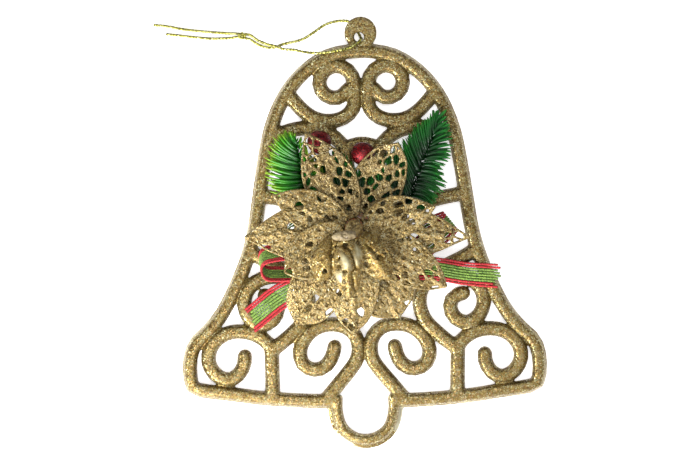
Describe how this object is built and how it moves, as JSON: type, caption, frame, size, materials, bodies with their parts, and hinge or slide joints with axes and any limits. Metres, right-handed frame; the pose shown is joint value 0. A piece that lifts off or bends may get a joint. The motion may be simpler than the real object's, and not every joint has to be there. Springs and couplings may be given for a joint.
{
  "type": "christmas bell ornament",
  "caption": "Flat openwork bell ornament in gold glitter plastic with a lace poinsettia, pine sprigs, berries, striped ribbon and a metallic hanging thread.",
  "frame": {"origin": "centre of the bell's outline at its back face, where it lies on its back", "axes": "+Y towards the hanging eyelet, +Z out of the decorated front, +X to the right seen from the front"},
  "size_m": [0.1296, 0.1434, 0.0267],
  "materials": {
    "gold_glitter_plastic": "moulded gold plastic with gold glitter on the front",
    "gold_lace": "open lace of thin plastic coated with gold glitter",
    "pale_gold_lace": "lace with the pale film showing through thinner glitter",
    "light_green_plastic": "moulded soft plastic needles, yellow-green at the tips",
    "dark_green_plastic": "moulded soft plastic needles, deep glossy green",
    "red_berry": "glossy red with fine glitter",
    "striped_ribbon": "corded ribbon, red edges and a green middle",
    "green_wire": "paper-green florist wire",
    "hot_glue": "cloudy hot-melt glue",
    "metallic_thread": "twisted yellow-gold metallic thread"
  },
  "bodies": {
    "bell": {"bell_frame": "gold_glitter_plastic", "outer_petal_1": "gold_lace", "outer_petal_2": "gold_lace", "outer_petal_3": "gold_lace", "outer_petal_4": "gold_lace", "outer_petal_5": "gold_lace", "outer_petal_6": "gold_lace", "upper_petal_1": "gold_lace", "upper_petal_2": "gold_lace", "upper_petal_3": "gold_lace", "upper_petal_4": "gold_lace", "upper_petal_5": "gold_lace", "curled_petal_1": "pale_gold_lace", "curled_petal_2": "pale_gold_lace", "curled_petal_3": "pale_gold_lace", "centre_fold": "pale_gold_lace", "flower_calyx": "gold_lace", "glue_pad": "hot_glue", "sprig_left_stem": "light_green_plastic", "sprig_left_needles": "light_green_plastic", "sprig_right_stem": "dark_green_plastic", "sprig_right_needles": "dark_green_plastic", "berry_left": "red_berry", "berry_left_wire": "green_wire", "berry_right": "red_berry", "berry_right_wire": "green_wire", "ribbon_tail_right": "striped_ribbon", "ribbon_tail_left": "striped_ribbon", "ribbon_loop_left": "striped_ribbon", "ribbon_loop_right": "striped_ribbon", "ribbon_centre": "striped_ribbon", "ribbon_tie_wire": "green_wire"},
    "hanging_thread": {"thread_front": "metallic_thread", "thread_back": "metallic_thread", "thread_tail_upper": "metallic_thread", "thread_tail_lower": "metallic_thread", "thread_knot": "metallic_thread"}
  },
  "joints": [
    {"name": "thread_swing", "type": "hinge", "parent": "bell", "child": "hanging_thread", "pos_m": [-0.0005, 0.0651, 0.0028], "axis": [0, 0, 1], "range_deg": [-95, 0]}
  ]
}
